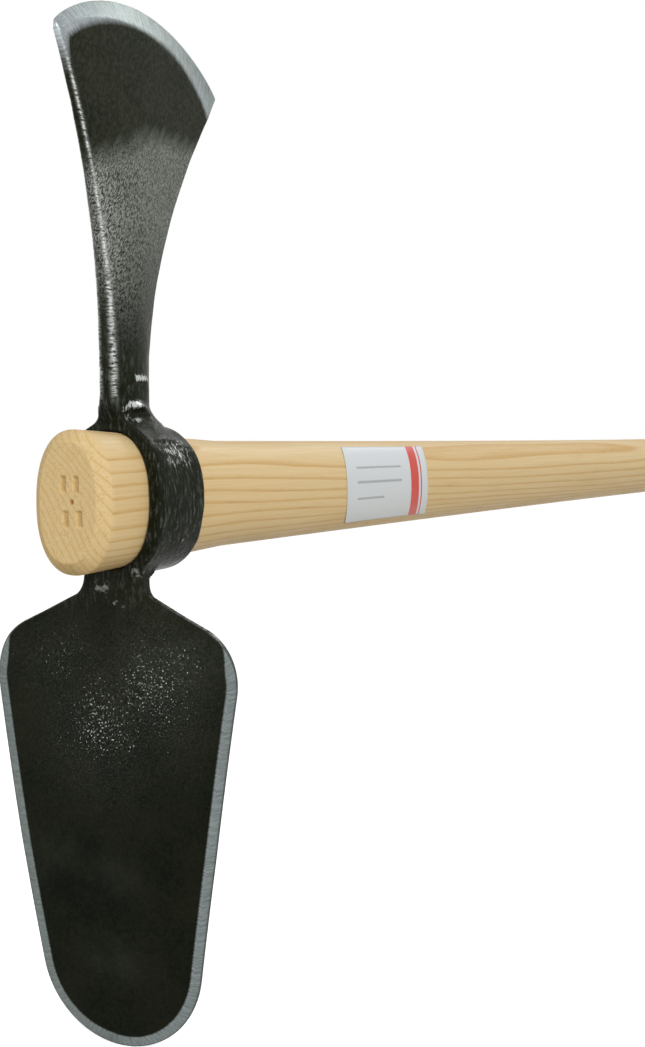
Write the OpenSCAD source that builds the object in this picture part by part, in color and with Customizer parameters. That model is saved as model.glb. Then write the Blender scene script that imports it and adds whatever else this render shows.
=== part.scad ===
// Combination planting mattock: an axe blade above the eye and a spade-shaped hoe blade below it.
// The origin is the centre of the handle's top end face. +Y runs down the handle to the butt,
// +Z points up to the axe edge and X runs across the hoe.

/* [Handle] */
// Length of the handle from end face to end face
handle_length = 950; // [880:5:1050]
// Height of the oval at the thick top end
top_height = 58; // [55:0.5:60]
// Width of the oval at the thick top end
top_width = 36.8; // [36:0.2:38]
// Chamfer round the top end face
top_chamfer = 5; // [3:0.5:6]
// Squareness of the oval at the top end, where 2 is an ellipse
top_squareness = 2.3; // [2:0.05:2.6]
// Distance from the end face to where the steep eye taper ends
shoulder_y = 112; // [90:1:140]
// Height of the oval where the eye taper ends
shoulder_height = 46.2; // [44:0.2:48]
// Diameter of the round grip
grip_diameter = 34.5; // [32:0.5:35]
// Length of the round grip
grip_length = 255; // [180:5:320]
// Rounding of the butt edge
butt_radius = 6; // [3:0.5:10]
// Width of a lathe drive mark in the top end face
mark_width = 2; // [1:0.2:3]
// Height of a lathe drive mark
mark_height = 6; // [4:0.5:8]
// Depth of a lathe drive mark
mark_depth = 1.5; // [0.5:0.1:3]
// Distance between the two columns of drive marks
mark_pitch_x = 6.4; // [5:0.2:8]
// Distance between the two rows of drive marks
mark_pitch_z = 15.6; // [12:0.2:18]

/* [Eye ring] */
// Distance from the handle's end face to the front of the ring
ring_front = 30.5; // [24:0.5:34]
// Depth of the ring along the handle
ring_depth = 32.5; // [28:0.5:38]
// Width of the ring at its front
ring_front_width = 49.6; // [48:0.2:54]
// Width of the ring at its rear
ring_rear_width = 52; // [50:0.2:56]
// Height of the ring at its front
ring_front_height = 64; // [63:0.5:68]
// Height of the ring at its rear
ring_rear_height = 60.4; // [59:0.2:64]
// Rounding of the ring's edges
ring_rounding = 2; // [1:0.2:3]
// Room between the handle and the eye
eye_clearance = 0.3; // [0.2:0.05:0.5]

/* [Axe blade] */
// Height of the cutting edge above the handle's axis at its front corner
toe_z = 187.4; // [175:0.2:200]
// Height of the cutting edge above the handle's axis at its grip-side corner
heel_z = 171.5; // [160:0.5:180]
// Rise of the curved cutting edge over its own chord
edge_bulge = 20.8; // [16:0.2:24]
// Front of the shank, from the handle's end face
shank_front = 28.3; // [26:0.1:31]
// Rear of the shank, from the handle's end face
shank_rear = 54.5; // [50:0.5:58]
// Reach of the front corner ahead of the shank
toe_flare = 35.3; // [25:0.1:40]
// Reach of the grip-side corner behind the shank
heel_flare = 59.7; // [50:0.1:66]
// Thickness of the shank in its middle
shank_thickness = 17; // [14:0.5:20]
// Thickness of the shank along its narrow sides
shank_side = 8; // [6:0.5:10]
// Thickness of the blade in its middle, at the ground bevel
axe_thickness = 6.5; // [5:0.25:8]
// Thickness of the blade at its corners, at the ground bevel
axe_corner = 3; // [2:0.25:4]
// Thickness of the ground cutting edges of both blades
keen_edge = 0.8; // [0.6:0.1:1.2]
// Width of the ground bevel at the front corner
toe_bevel = 3; // [2:0.5:6]
// Width of the ground bevel at the grip-side corner
heel_bevel = 9; // [6:0.5:12]

/* [Hoe blade] */
// Half width of the neck under the ring
neck_half = 14; // [12:0.1:16]
// Thickness of the neck
neck_thickness = 10; // [8:0.5:13]
// Distance from the handle's end face to the front of the blade, at the neck
neck_front = 32.6; // [32:0.2:36]
// Half width of the shoulders, measured to their sharp corner
shoulder_half = 60.6; // [52:0.1:66]
// Height of the shoulder corners below the handle's axis
shoulder_drop = 58.8; // [56:0.1:64]
// Half width of the blade halfway down its sides
side_half = 47.4; // [44:0.1:50]
// Half width of the blade at the level of its tip, before the end is rounded
end_half = 32.8; // [29:0.1:36]
// Length of the blade below the handle's axis
hoe_length = 227; // [210:0.2:250]
// Thickness of the blade
hoe_thickness = 2.1; // [1.8:0.1:3.5]
// Width of the ground bevel round the blade
hoe_bevel = 4.5; // [3.5:0.25:6.5]
// Sweep of the tip back to the grip
tip_sweep = 14.9; // [8:0.1:20]
// Forward bow of the blade before it sweeps back
blade_bow = 7.6; // [4:0.1:10]

/* [Label] */
// Distance from the handle's end face to the label
label_y = 209; // [180:1:240]
// Length of the label along the handle
label_length = 89; // [70:1:110]
// Height that the label covers on the side of the handle
label_height = 35; // [28:0.5:37]
// Rise of the label's middle over the middle of the handle
label_rise = 1.5; // [-1:0.5:2]
// Curve of the label's two ends
label_bow = 8; // [0:0.5:10]
// Thickness of the paper
label_thickness = 0.15; // [0.1:0.05:0.2]
// Film of glue under the paper
label_glue = 0.1; // [0.1:0.02:0.2]

/* [Hidden] */

// Number of sides of every oval, shared so that the handle and its eye have matching flats
sides = 48;
grip_r = grip_diameter / 2;
grip_start = handle_length - grip_length;
ring_rear = ring_front + ring_depth;
// Step that keeps the tapered shaft just inside the round grip where they meet
grip_step = 0.05;
// Power of the shaft's taper in height, and of its faster taper in width
shaft_curve = 1.35;
width_curve = 6;
// Squareness of the ring's oval
ring_squareness = 2.3;
// How far the eye's cut runs past both faces of the ring, through the roots of the blades
eye_reach = 10;

// How far both blades reach into the ring's wall, where the eye then cuts them off
root_sink = 8;
ring_top = ring_front_height / 2;
// Levels between which the axe's shank flares into the ring
axe_root_z = ring_top - root_sink;
axe_flare_z = ring_top + 7;
axe_flare = 11;
// Levels from which the shank's front and rear edges curve away, and the powers of the curves
front_curve_z = ring_top + 18;
rear_curve_z = ring_top + 13;
front_curve = 2;
rear_curve = 1.93;
edge_curve = 0.85;
axe_steps = 16;
axe_columns = 14;

// Levels of the hoe's neck and shoulders
hoe_root_z = root_sink - ring_top;
neck_z = -ring_top - 5;
neck_fillet = 11;
shoulder_fillet = 25;
side_z = -(shoulder_drop + hoe_length) / 2;
side_fillet = 400;
// Half of the small flat at the tip, the sides' lean, and the radius that rounds the whole end between them
tip_flat = 0.5;
side_lean = atan2(side_half - end_half, side_z + hoe_length);
end_fillet = (end_half - tip_flat) * tan(45 + side_lean / 2);
// Level at which the ground bevel starts, and the height over which it runs in
bevel_start = 5.5 - shoulder_drop;
bevel_run = 16;
// Half width of the spine that carries the neck's thickness down the blade, and its share on the front
spine_half = 20;
spine_front = 0.33;
spine_curve = 4;
hoe_columns = 6;
// Growth of the neck into the ring above it
root_flare = 9;

function lerp(a, b, t) = a + (b - a) * t;
function clamp(t) = min(1, max(0, t));
function unit(v) = v / norm(v);

// Handle and eye: one family of ovals along the axis

function oval(a, b, n) = [
    for (i = [0 : sides - 1])
        let (c = cos(360 * i / sides), s = sin(360 * i / sides))
            [a * sign(c) * pow(abs(c), 2 / n), b * sign(s) * pow(abs(s), 2 / n)]
];

function half_height(y) =
    y < shoulder_y
        ? lerp(top_height, shoulder_height, (y - top_chamfer) / (shoulder_y - top_chamfer)) / 2
        : grip_r + (shoulder_height / 2 - grip_r)
            * pow(clamp(1 - (y - shoulder_y) / (grip_start - shoulder_y)), shaft_curve);

function half_width(y) = grip_r + (top_width / 2 - grip_r) * pow(clamp(1 - y / grip_start), width_curve);

function squareness(y) = 2 + (top_squareness - 2) * clamp(1 - y / grip_start);

function section(y, grow) = [
    for (p = oval(half_width(y) + grow, half_height(y) + grow, squareness(y))) [p[0], y, p[1]]
];

// Solid through a row of closed loops that all have the same number of points
module loft(loops) {
    n = len(loops[0]);
    last = len(loops) - 1;
    points = [for (loop = loops) each loop];
    walls = [
        for (i = [0 : last - 1], j = [0 : n - 1])
            let (k = (j + 1) % n)
                each [
                    [i * n + j, i * n + k, (i + 1) * n + k],
                    [i * n + j, (i + 1) * n + k, (i + 1) * n + j]
                ]
    ];
    start = [[for (j = [n - 1 : -1 : 0]) j]];
    end = [[for (j = [0 : n - 1]) last * n + j]];
    polyhedron(points, concat(walls, start, end));
}

module ash_handle() {
    eye_stations = [for (i = [0 : 8]) lerp(top_chamfer, shoulder_y, i / 8)];
    shaft_stations = [for (i = [1 : 14]) lerp(shoulder_y, grip_start, i / 14)];
    loops = concat(
        [[for (p = section(top_chamfer, -top_chamfer)) [p[0], 0, p[2]]]],
        [for (y = eye_stations) section(y, 0)],
        [for (y = shaft_stations) section(y, y < grip_start ? 0 : -grip_step)]
    );
    color("burlywood")
        difference() {
            union() {
                loft(loops);
                translate([0, grip_start, 0])
                    rotate([-90, 0, 0])
                        rotate_extrude($fn = 96)
                            grip_profile();
            }
            for (i = [-0.5, 0.5], k = [-0.5, 0.5])
                translate([i * mark_pitch_x, 0, k * mark_pitch_z])
                    cube([mark_width, 2 * mark_depth, mark_height], center = true);
        }
}

// Half outline of the round grip with its rounded butt
module grip_profile() {
    polygon(concat(
        [[0, 0], [grip_r, 0]],
        [
            for (i = [0 : 8])
                [
                    grip_r - butt_radius + butt_radius * cos(90 * i / 8),
                    grip_length - butt_radius + butt_radius * sin(90 * i / 8)
                ]
        ],
        [[0, grip_length]]
    ));
}

// Eye ring: an oval drum with rounded edges, bored by the eye

function ring_section(y, inset) =
    let (t = (y - ring_front) / ring_depth)
        [
            for (p = oval(
                lerp(ring_front_width, ring_rear_width, t) / 2 - inset,
                lerp(ring_front_height, ring_rear_height, t) / 2 - inset,
                ring_squareness
            )) [p[0], y, p[1]]
        ];

module ring_drum() {
    rounding = [for (a = [0 : 30 : 90]) ring_rounding * [1 - cos(a), 1 - sin(a)]];
    middle = [for (i = [1 : 3]) lerp(ring_front + ring_rounding, ring_rear - ring_rounding, i / 4)];
    loft(concat(
        [for (r = rounding) ring_section(ring_front + r[0], r[1])],
        [for (y = middle) ring_section(y, 0)],
        [for (i = [len(rounding) - 1 : -1 : 0]) ring_section(ring_rear - rounding[i][0], rounding[i][1])]
    ));
}

module eye() {
    steps = 6;
    loft([
        for (i = [0 : steps])
            section(lerp(ring_front - eye_reach, ring_rear + eye_reach, i / steps), eye_clearance)
    ]);
}

// Axe blade: loops from the ring up to the curved cutting edge

function axe_front(z) =
    shank_front - toe_flare * pow(clamp((z - front_curve_z) / (toe_z - front_curve_z)), front_curve);

function axe_rear(z) =
    shank_rear + heel_flare * pow(max(0, (z - rear_curve_z) / (heel_z - rear_curve_z)), rear_curve);

// Loop across the blade, with its front and rear ends at their own heights
function axe_loop(front_z, rear_z, bulge, middle, side, flare) =
    let (
        share = [for (j = [0 : axe_columns]) j / axe_columns],
        spine = [
            for (v = share)
                [
                    lerp(axe_front(front_z), axe_rear(rear_z), v),
                    lerp(front_z, rear_z, v) + bulge * pow(4 * v * (1 - v), edge_curve)
                ]
        ],
        half = [for (v = share) (side + (middle - side) * 4 * v * (1 - v)) / 2 + flare]
    )
    concat(
        [for (j = [0 : axe_columns]) [half[j], spine[j][0], spine[j][1]]],
        [for (j = [axe_columns : -1 : 0]) [-half[j], spine[j][0], spine[j][1]]]
    );

module axe_blade() {
    bevel_front = toe_z - toe_bevel;
    bevel_rear = heel_z - heel_bevel;
    bevel_bulge = edge_bulge - toe_bevel;
    body = [
        for (i = [0 : axe_steps])
            let (
                t = i / axe_steps,
                front_z = lerp(axe_root_z, bevel_front, t),
                rear_z = lerp(axe_root_z, bevel_rear, t)
            )
                axe_loop(
                    front_z,
                    rear_z,
                    bevel_bulge * t * t,
                    lerp(shank_thickness, axe_thickness, t),
                    lerp(shank_side, axe_corner, t),
                    axe_flare * pow(clamp((axe_flare_z - front_z) / (axe_flare_z - axe_root_z)), 2)
                )
    ];
    loops = concat(body, [axe_loop(toe_z, heel_z, edge_bulge, keen_edge, keen_edge, 0)]);
    for (i = [0 : len(loops) - 2])
        hull()
            loft([loops[i], loops[i + 1]]);
}

// Hoe blade: level loops from the ring down to the tip

// Arc that replaces the corner p between a and b
function fillet(a, p, b, r, steps) =
    let (
        u = unit(a - p),
        v = unit(b - p),
        half = acos(u * v) / 2,
        centre = p + unit(u + v) * r / sin(half),
        from = p + u * r / tan(half) - centre,
        to = p + v * r / tan(half) - centre,
        start = atan2(from[1], from[0]),
        turn = (atan2(to[1], to[0]) - start + 540) % 360 - 180
    )
    [for (k = [0 : steps]) centre + r * [cos(start + turn * k / steps), sin(start + turn * k / steps)]];

hoe_corners = [
    [neck_half, hoe_root_z],
    [neck_half, neck_z],
    [shoulder_half, -shoulder_drop],
    [side_half, side_z],
    [end_half, -hoe_length],
    [0, -hoe_length]
];
hoe_fillets = [0, neck_fillet, shoulder_fillet, side_fillet, end_fillet];
hoe_steps = [0, 5, 6, 3, 14];
hoe_outline = concat(
    [hoe_corners[0]],
    [
        for (i = [1 : len(hoe_corners) - 2])
            each fillet(hoe_corners[i - 1], hoe_corners[i], hoe_corners[i + 1], hoe_fillets[i], hoe_steps[i])
    ],
    [hoe_corners[len(hoe_corners) - 1]]
);

// Distance from a point to a stretch of the outline, and to the whole outline
function stretch_gap(p, a, b) = norm(p - lerp(a, b, clamp((p - a) * (b - a) / ((b - a) * (b - a)))));
function outline_gap(p) = min([
    for (i = [0 : len(hoe_outline) - 2]) stretch_gap(p, hoe_outline[i], hoe_outline[i + 1])
]);

function hoe_front(z) =
    let (t = max(0, neck_z - z) / 200)
        neck_front - blade_bow * t + tip_sweep * t * t;

function hoe_spine(x, z) =
    (neck_thickness - hoe_thickness)
        * pow(clamp(1 - (neck_z - z) / (hoe_length + neck_z)), spine_curve)
        * clamp(1 - pow(x / spine_half, 2));

function bevel_cut(x, z) =
    (hoe_thickness - keen_edge)
        * clamp(1 - outline_gap([abs(x), z]) / hoe_bevel)
        * clamp((bevel_start - z) / bevel_run);

function hoe_loop(half, z) =
    let (
        inner = max(half - hoe_bevel, half / 2),
        right = concat([for (k = [0 : hoe_columns]) inner * k / hoe_columns], [half]),
        across = concat([for (k = [len(right) - 1 : -1 : 1]) -right[k]], right),
        flare = root_flare * pow(clamp((z - neck_z) / (hoe_root_z - neck_z)), 2)
    )
    concat(
        [for (x = across) [x, hoe_front(z) - spine_front * hoe_spine(x, z) + bevel_cut(x, z), z]],
        [
            for (k = [len(across) - 1 : -1 : 0])
                let (x = across[k])
                    [x, hoe_front(z) + hoe_thickness + (1 - spine_front) * hoe_spine(x, z) + flare, z]
        ]
    );

module hoe_blade() {
    loft([for (i = [0 : len(hoe_outline) - 2]) hoe_loop(hoe_outline[i][0], hoe_outline[i][1])]);
}

module forged_head() {
    color("#2b2d29")
        difference() {
            union() {
                ring_drum();
                axe_blade();
                hoe_blade();
            }
            eye();
        }
}

// Label: a sheet bent round the side of the handle

function label_point(y, angle, grow) =
    let (n = squareness(y))
        [
            (half_width(y) + grow) * pow(cos(angle), 2 / n),
            y,
            (half_height(y) + grow) * sign(angle) * pow(sin(abs(angle)), 2 / n)
        ];

module paper_label() {
    rows = 24;
    columns = 10;
    middle_y = label_y + label_length / 2;
    reach = asin(pow(label_height / 2 / half_height(middle_y), squareness(middle_y) / 2));
    turn = asin(label_rise / half_height(middle_y));
    shares = [for (k = [0 : rows]) 2 * k / rows - 1];
    color("whitesmoke")
        loft([
            for (s = shares)
                let (
                    angle = reach * s + turn,
                    start = label_y + label_bow * (s * s - 1 / 3),
                    place = [for (i = [0 : columns]) start + label_length * i / columns],
                    over = [for (y = place) label_point(y, angle, label_glue + label_thickness)],
                    under = [for (i = [columns : -1 : 0]) label_point(place[i], angle, label_glue)]
                )
                concat(over, under)
        ]);
}

forged_head();
ash_handle();
paper_label();
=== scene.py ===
"""Planting mattock: a forged head with an axe blade and a hoe blade, an ash handle and a paper label."""

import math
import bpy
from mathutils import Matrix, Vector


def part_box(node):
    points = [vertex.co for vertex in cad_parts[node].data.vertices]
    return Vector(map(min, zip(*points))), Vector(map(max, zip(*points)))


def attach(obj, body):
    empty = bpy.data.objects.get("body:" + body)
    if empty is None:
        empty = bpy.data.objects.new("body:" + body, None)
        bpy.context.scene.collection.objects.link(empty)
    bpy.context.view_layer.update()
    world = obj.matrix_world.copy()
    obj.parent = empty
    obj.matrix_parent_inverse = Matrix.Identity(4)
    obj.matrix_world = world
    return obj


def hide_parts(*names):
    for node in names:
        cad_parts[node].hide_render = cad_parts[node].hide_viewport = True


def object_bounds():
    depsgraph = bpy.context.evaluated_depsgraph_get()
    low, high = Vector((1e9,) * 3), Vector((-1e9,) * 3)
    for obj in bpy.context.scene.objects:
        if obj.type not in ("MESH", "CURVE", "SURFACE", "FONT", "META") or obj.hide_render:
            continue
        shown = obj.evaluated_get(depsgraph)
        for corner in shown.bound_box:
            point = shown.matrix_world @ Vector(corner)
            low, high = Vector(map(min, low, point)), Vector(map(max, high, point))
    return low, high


bl_info = {
    "name": "Planting Mattock",
    "version": (1, 0, 0),
    "blender": (4, 5, 0),
    "location": "3D View > Sidebar > Mattock",
    "description": "Builds a planting mattock and a plain studio round it",
    "category": "Add Mesh",
}

from functools import partialmethod, reduce

import bmesh
import bpy
from bpy.props import FloatProperty, FloatVectorProperty, PointerProperty
from mathutils import Vector, kdtree, noise

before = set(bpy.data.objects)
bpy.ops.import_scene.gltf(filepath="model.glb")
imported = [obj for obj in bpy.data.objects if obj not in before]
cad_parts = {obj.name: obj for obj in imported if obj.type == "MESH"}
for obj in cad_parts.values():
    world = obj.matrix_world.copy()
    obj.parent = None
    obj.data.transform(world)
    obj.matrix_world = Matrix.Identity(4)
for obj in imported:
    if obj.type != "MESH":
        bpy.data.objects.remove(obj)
CAD_BOX = [[float(n) for n in corner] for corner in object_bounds()]

MM = 0.001
HEAD_LOW, HEAD_HIGH = (Vector(corner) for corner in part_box("forged_head"))
HANDLE_LOW, HANDLE_HIGH = (Vector(corner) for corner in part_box("ash_handle"))
HANDLE_HEIGHT = HANDLE_HIGH.z - HANDLE_LOW.z

# Points that lie closer than this are one point
SEAM = 0.0003 * MM
# Columns round the handle, and round the head: across its front or rear, and along one of its sides
HANDLE_COLUMNS = 160
FACE_COLUMNS = 40
SIDE_COLUMNS = 32
# Rows of the handle: its end face, chamfer, eye end, taper, grip and rounded butt
TOP_ROWS, CHAMFER_ROWS, EYE_END_ROWS, TAPER_ROWS, GRIP_ROWS, BUTT_ROWS = 60, 14, 40, 80, 12, 8
# Rows of the head: the axe's bevel, its blade, and the eye with the neck
BEVEL_ROWS, BLADE_ROWS, EYE_ROWS = 10, 95, 130
# Points along the axe's edge, and columns and rows of the label
EDGE_POINTS = 400
LABEL_COLUMNS, LABEL_ROWS = 96, 48
# Edges of the head that are sharper than this, in degrees, stay sharp
HEAD_CREASE = 34


def in_metres(rows):
    """Rows of lengths that are given in millimetres."""
    return [[n * MM for n in row] for row in rows]


def size(name, millimetres, description):
    return FloatProperty(
        name=name, description=description, default=millimetres * MM, unit="LENGTH", precision=5
    )


def angle(name, degrees, description):
    return FloatProperty(name=name, description=description, default=math.radians(degrees), unit="ROTATION")


def share(name, default, description):
    return FloatProperty(name=name, description=description, default=default)


def colour(name, rgb, description):
    return FloatVectorProperty(
        name=name, description=description, default=(*rgb, 1.0), size=4, subtype="COLOR", min=0.0, max=1.0
    )


class MattockHandleSettings(bpy.types.PropertyGroup):
    """Sizes and colours of the ash handle"""

    top_height: size("Top height", HANDLE_HEIGHT / MM, "Height of the oval at the thick end")
    top_width: size("Top width", 36.8, "Width of the oval at the thick end")
    chamfer: size("Chamfer", 5, "Chamfer round the top end face")
    softness: share("Chamfer softness", 0.28, "0 for a flat chamfer, 1 for a full rounding")
    squareness: share("Squareness", 2.3, "Squareness of the oval at the top, where 2 is an ellipse")
    shoulder_y: size("Shoulder", 112, "Where the steep taper of the eye end stops")
    shoulder_height: size("Shoulder height", 46.2, "Height of the oval at the shoulder")
    grip_diameter: size("Grip", 34.5, "Diameter of the round grip")
    grip_length: size("Grip length", 255, "Length of the round grip")
    butt_radius: size("Butt rounding", 6, "Rounding of the butt's edge")
    mark_depth: size("Mark depth", 0.9, "Depth of the lathe's drive marks in the end face")
    ring_pitch: size("Growth ring", 2.7, "Distance between two growth rings")
    pale: colour("Pale wood", (0.695, 0.525, 0.280), "Wood between the grain lines")
    line: colour("Grain line", (0.54, 0.30, 0.070), "Wood in the grain lines")
    light: colour("Light wood", (0.74, 0.595, 0.355), "Palest patches of the wood")
    pore: colour("Pores", (0.30, 0.17, 0.055), "Open pores in the grain lines")
    end_pale: colour("End grain", (0.70, 0.522, 0.266), "Wood of the sawn end face")
    mark: colour("Drive marks", (0.50, 0.30, 0.085), "Pressed wood in the drive marks")
    dot: colour("Centre dot", (0.36, 0.17, 0.035), "Scorched wood in the centre hole")


class MattockHeadSettings(bpy.types.PropertyGroup):
    """Sizes and colours of the forged head"""

    ring_front: size("Ring front", 30.5, "Front face of the eye ring, from the handle's end face")
    ring_depth: size("Ring depth", 32.5, "Depth of the eye ring along the handle")
    ring_front_width: size("Ring front width", 49.6, "Width of the ring at its front")
    ring_rear_width: size("Ring rear width", 52, "Width of the ring at its rear")
    ring_front_height: size("Ring front height", 64, "Height of the ring at its front")
    ring_rear_height: size("Ring rear height", 60.4, "Height of the ring at its rear")
    ring_rounding: size("Ring rounding", 2.2, "Rounding of the ring's edges")
    eye_clearance: size("Eye room", 0.3, "Room between the eye and the handle")
    toe_z: size("Toe height", 187.4, "Height of the axe edge at its front corner")
    heel_z: size("Heel height", 171.5, "Height of the axe edge at its grip-side corner")
    edge_bulge: size("Edge bulge", 20.8, "Rise of the axe edge over its chord")
    shank_front: size("Shank front", 28.3, "Front of the axe's shank")
    shank_rear: size("Shank rear", 54.5, "Rear of the axe's shank")
    toe_flare: size("Toe flare", 35.3, "Reach of the axe's front corner")
    heel_flare: size("Heel flare", 59.7, "Reach of the axe's grip-side corner")
    shank_thickness: size("Shank thickness", 17, "Thickness of the shank in its middle")
    shank_side: size("Shank side", 8, "Thickness of the shank along its narrow sides")
    axe_thickness: size("Axe thickness", 6.5, "Thickness of the axe's middle at the bevel")
    axe_corner: size("Axe corner", 3, "Thickness of the axe's corners at the bevel")
    keen_edge: size("Keen edge", 0.7, "Thickness of the ground edges")
    toe_bevel: size("Toe bevel", 3, "Height of the axe's bevel at the front corner")
    heel_bevel: size("Heel bevel", 9, "Height of the axe's bevel at the grip-side corner")
    neck_half: size("Neck", 14, "Half width of the hoe's neck")
    neck_thickness: size("Neck thickness", 10, "Thickness of the hoe's neck")
    neck_front: size("Neck front", 32.6, "Front of the hoe's plate at the neck")
    shoulder_half: size("Shoulder", 60.6, "Half width of the hoe's shoulders at their sharp corner")
    shoulder_drop: size("Shoulder drop", 58.8, "Depth of the hoe's shoulder corners")
    side_half: size("Side", 47.4, "Half width of the hoe halfway down its sides")
    end_half: size("End", 32.8, "Half width of the hoe at its tip's level, before the end is rounded")
    hoe_length: size("Hoe length", -HEAD_LOW.z / MM, "Depth of the hoe's tip under the handle's axis")
    hoe_thickness: size("Hoe thickness", 2.1, "Thickness of the hoe's plate")
    hoe_bevel: size("Hoe bevel", 4.5, "Width of the hoe's ground bevel")
    tip_sweep: size("Tip sweep", 14.9, "Sweep of the hoe's tip to the grip")
    blade_bow: size("Blade bow", 7.6, "Forward bow of the hoe before it sweeps back")
    scale_dark: colour("Dark scale", (0.0040, 0.0048, 0.0030), "Darkest forge scale")
    scale_light: colour("Light scale", (0.018, 0.0205, 0.0118), "Lightest forge scale")
    # This grey is dust and scratch strokes, and also the colour of the painted sheen on the axe, the hoe
    # and the ring
    sheen: colour("Rubbed scale", (0.250, 0.276, 0.246), "Scale that is rubbed grey")
    # Colour of uncovered steel on the arrises, and also of the painted glints and highlights
    bare_and_highlight: colour("Bare steel", (0.60, 0.63, 0.61), "Steel where the scale is rubbed off")
    axe_ground: colour("Axe bevel", (0.270, 0.294, 0.310), "Ground steel of the axe's bevel")
    hoe_ground: colour("Hoe bevel", (0.150, 0.171, 0.169), "Ground steel of the hoe's bevel")


class MattockLabelSettings(bpy.types.PropertyGroup):
    """Sizes and colours of the paper label"""

    start: size("Start", 209, "Distance from the handle's end face to the label")
    length: size("Length", 89, "Length of the label along the handle")
    height: size("Height", 35, "Height that the label covers")
    rise: size("Rise", 1.5, "Rise of the label's middle over the middle of the handle")
    bow: size("End curve", 8, "Curve of the label's two ends")
    glue: size("Glue", 0.1, "Film of glue under the paper")
    thickness: size("Thickness", 0.15, "Thickness of the paper")
    paper: colour("Paper", (0.63, 0.665, 0.69), "Coated white paper")
    stripe: colour("Stripe", (0.60, 0.035, 0.015), "Printed stripe of colour")
    rule: colour("Rule", (0.20, 0.21, 0.22), "Printed rules")


class MattockStageSettings(bpy.types.PropertyGroup):
    """The camera, the lamps and the floor"""

    camera_place: FloatVectorProperty(
        name="Camera", description="Place of the camera", default=(0.499178, -0.724604, 0.036911),
        subtype="TRANSLATION", unit="LENGTH",
    )
    camera_yaw: angle("Yaw", 27.998, "Turn of the camera to the left")
    camera_pitch: angle("Pitch", 2.945, "Tilt of the camera down")
    focal_pixels: share("Focal length", 2220.08, "Focal length in pixels of the picture")
    picture_height: share("Picture height", 1047, "Height of the picture in pixels")
    ambient: share("Ambient", 0.56, "Light from all round")
    floor_lift: share("Floor lift", 0.66, "Glow that brings the floor to white in the picture")
    floor_size: size("Floor", 8000, "Half the width of the floor")
    floor_colour: colour("Floor colour", (0.86, 0.86, 0.86), "Pale floor, as it is seen")
    floor_bounce: colour("Floor bounce", (0.47, 0.435, 0.36), "Floor, as it lights the object from below")


def lerp(a, b, t):
    return a + (b - a) * t


def clamp(t):
    return min(1.0, max(0.0, t))


def smooth(t):
    t = clamp(t)
    return t * t * (3 - 2 * t)


def ramp(length, start, width):
    """Soft step of a length in metres, over a width from a start that are given in millimetres."""
    return smooth((length - start * MM) / (width * MM))


def soft_max(a, b, reach):
    """The larger of two lengths, with a fillet of about that reach where they meet."""
    return max(a, b) + max(reach - abs(a - b), 0.0) ** 2 / (4 * reach)


def steps(start, stop, count):
    """Even steps from start to stop, without start itself."""
    return [lerp(start, stop, i / count) for i in range(1, count + 1)]


def spread(count):
    """Shares from 0 to 1 that crowd towards both ends."""
    return [(1 - math.cos(math.pi * i / count)) / 2 for i in range(count + 1)]


def rolled_sheet(columns, rows, place):
    """A grid rolled into a tube: place(column, row) says where each of its points goes."""
    sheet = bmesh.new()
    bmesh.ops.create_grid(sheet, x_segments=columns, y_segments=rows - 1, size=0.5)
    for vert in sheet.verts:
        column = round((vert.co.x + 0.5) * columns) % columns
        row = round((vert.co.y + 0.5) * (rows - 1))
        vert.co = place(column, row)
    bmesh.ops.remove_doubles(sheet, verts=sheet.verts[:], dist=SEAM)
    return sheet


def close_ends(sheet):
    """Caps the open ends of a rolled sheet and turns its faces outwards."""
    rims = [edge for edge in sheet.edges if edge.is_boundary]
    bmesh.ops.holes_fill(sheet, edges=rims, sides=0)
    bmesh.ops.recalc_face_normals(sheet, faces=sheet.faces[:])


def shade(mesh, crease):
    """Shades a mesh smooth, but for edges that are sharper than crease."""
    mesh.shade_smooth()
    mesh.set_sharp_from_angle(angle=math.radians(crease))


def finished_object(name, shape, crease, materials):
    """Turns a bmesh into a shaded object."""
    mesh = bpy.data.meshes.new(name)
    shape.to_mesh(mesh)
    shape.free()
    shade(mesh, crease)
    for material in materials:
        mesh.materials.append(material)
    piece = bpy.data.objects.new(name, mesh)
    bpy.context.scene.collection.objects.link(piece)
    return piece


def hand_over(piece, node, body):
    """Puts a piece in the place of its CAD node, on that node's body."""
    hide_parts(node)
    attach(piece, body)


# Shape of the handle


def handle_half_height(h, y):
    grip = h.grip_diameter / 2
    grip_start = HANDLE_HIGH.y - h.grip_length
    if y < h.shoulder_y:
        return lerp(h.top_height, h.shoulder_height, (y - h.chamfer) / (h.shoulder_y - h.chamfer)) / 2
    left = clamp(1 - (y - h.shoulder_y) / (grip_start - h.shoulder_y))
    return grip + (h.shoulder_height / 2 - grip) * left**1.35


def handle_half_width(h, y):
    grip = h.grip_diameter / 2
    return grip + (h.top_width / 2 - grip) * clamp(1 - y / (HANDLE_HIGH.y - h.grip_length)) ** 6


def handle_squareness(h, y):
    return 2 + (h.squareness - 2) * clamp(1 - y / (HANDLE_HIGH.y - h.grip_length))


def oval_point(a, b, n, turn):
    """Point of a squarish oval with half width a and half height b."""
    c = math.cos(turn)
    s = math.sin(turn)
    return (
        a * math.copysign(abs(c) ** (2 / n), c),
        b * math.copysign(abs(s) ** (2 / n), s),
    )


def handle_point(h, y, turn, grow=0.0):
    x, z = oval_point(
        handle_half_width(h, y) + grow, handle_half_height(h, y) + grow, handle_squareness(h, y), turn
    )
    return Vector((x, y, z))


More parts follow.
